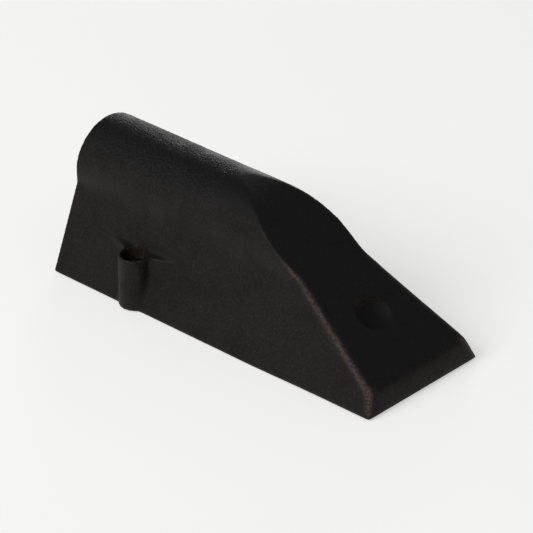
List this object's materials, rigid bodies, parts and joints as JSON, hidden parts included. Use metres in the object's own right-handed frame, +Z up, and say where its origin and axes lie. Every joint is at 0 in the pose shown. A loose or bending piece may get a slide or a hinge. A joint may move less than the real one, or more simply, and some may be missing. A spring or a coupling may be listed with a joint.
{
  "type": "excavator bucket tooth",
  "caption": "Cast steel bucket tooth point with a round-backed nose socket, a chisel wedge with a wear dimple, and a rubber-cored lock pin in a side boss.",
  "frame": {"origin": "on the base, in the plane of the rear rim, on the middle plane of the tooth", "axes": "+X from the rear rim to the cutting edge, +Z up through the ridge, -Y is the side with the pin boss"},
  "size_m": [0.22, 0.0881, 0.077],
  "materials": {
    "cast_steel": "sand-cast alloy steel with a thin black protective coat, satin, bronze-brown where the coat is thin on edges",
    "pin_steel": "oiled black heat-treated spring steel",
    "pin_rubber": "black vulcanised nitrile rubber"
  },
  "bodies": {
    "tooth": {"tooth_point": "cast_steel"},
    "lock_pin": {"pin_keeper_strip": "pin_steel", "pin_rubber_core": "pin_rubber"},
    "detent": {"pin_detent_strip": "pin_steel"}
  },
  "joints": [
    {"name": "lock_pin_slide", "type": "slide", "parent": "tooth", "child": "lock_pin", "axis": [0, 0, 1], "range_m": [0, 0.035]},
    {"name": "detent_squeeze", "type": "slide", "parent": "lock_pin", "child": "detent", "axis": [0, -1, 0], "range_m": [0, 0.0015], "stiffness_N_per_m": 60000, "springref_m": -0.0002, "deforming": ["pin_rubber_core"]}
  ]
}
